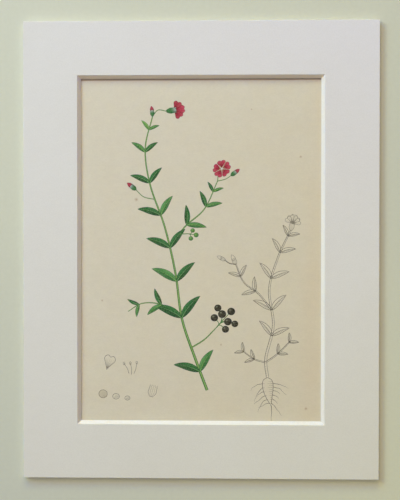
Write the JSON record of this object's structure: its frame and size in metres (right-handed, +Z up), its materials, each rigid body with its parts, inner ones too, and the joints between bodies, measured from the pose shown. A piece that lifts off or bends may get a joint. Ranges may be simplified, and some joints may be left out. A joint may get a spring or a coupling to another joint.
{
  "type": "mounted botanical print",
  "caption": "Paper print hung behind a bevel-cut window board and backed with a thin card of the same outline.",
  "frame": {"origin": "centre of the backing card's underside, which is the bottom centre of the whole part", "axes": "+Z up through the thickness, from the back to the face; +Y towards the top of the picture; +X to the picture's right"},
  "size_m": [0.217, 0.2794, 0.0032],
  "materials": {
    "mat_board": "matt, faintly textured off-white facing paper on a white core",
    "backing_card": "thin off-white card, smooth on both sides",
    "print_paper": "aged cream wove paper, printed in grey line and hand coloured",
    "hinge_paper": "thin gummed paper tape",
    "bond_tape": "thin white double-sided foam tape"
  },
  "bodies": {
    "root": {"window_mat": "mat_board", "backing_card": "backing_card", "print_sheet": "print_paper", "hinge_tape_left": "hinge_paper", "hinge_tape_right": "hinge_paper", "bond_tape_top": "bond_tape", "bond_tape_bottom": "bond_tape", "bond_tape_left": "bond_tape", "bond_tape_right": "bond_tape"}
  },
  "joints": []
}
